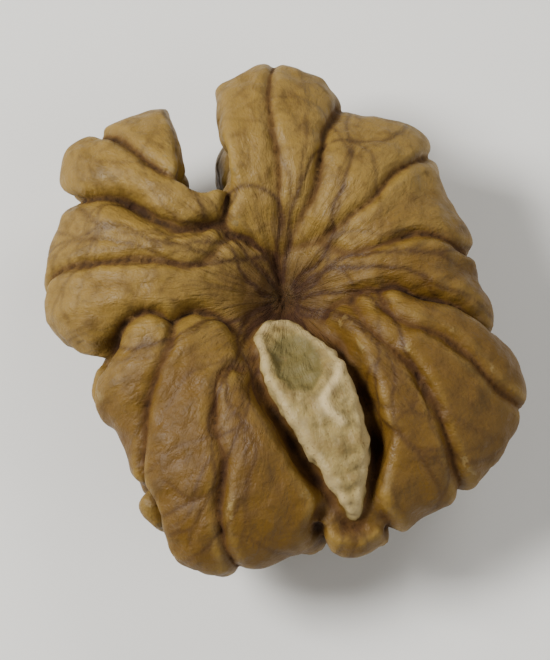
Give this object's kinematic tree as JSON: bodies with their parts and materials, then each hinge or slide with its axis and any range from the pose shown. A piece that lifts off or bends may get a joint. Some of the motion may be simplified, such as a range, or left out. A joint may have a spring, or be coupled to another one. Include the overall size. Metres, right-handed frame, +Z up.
{
  "type": "walnut kernel half",
  "caption": "Shelled walnut kernel half lying with its inner face up: folded lobes round a hollow, a base cleft and a torn tongue.",
  "frame": {"origin": "on the surface the half lies on, under the middle of its bounding box", "axes": "+Z up, out of the inner face; +Y from the tip to the cleft at the base; +X across the half"},
  "size_m": [0.0254, 0.0302, 0.012],
  "materials": {
    "walnut_skin": "dry papery brown skin, satin on the ridges"
  },
  "bodies": {
    "root": {"kernel_half": "walnut_skin"}
  },
  "joints": []
}
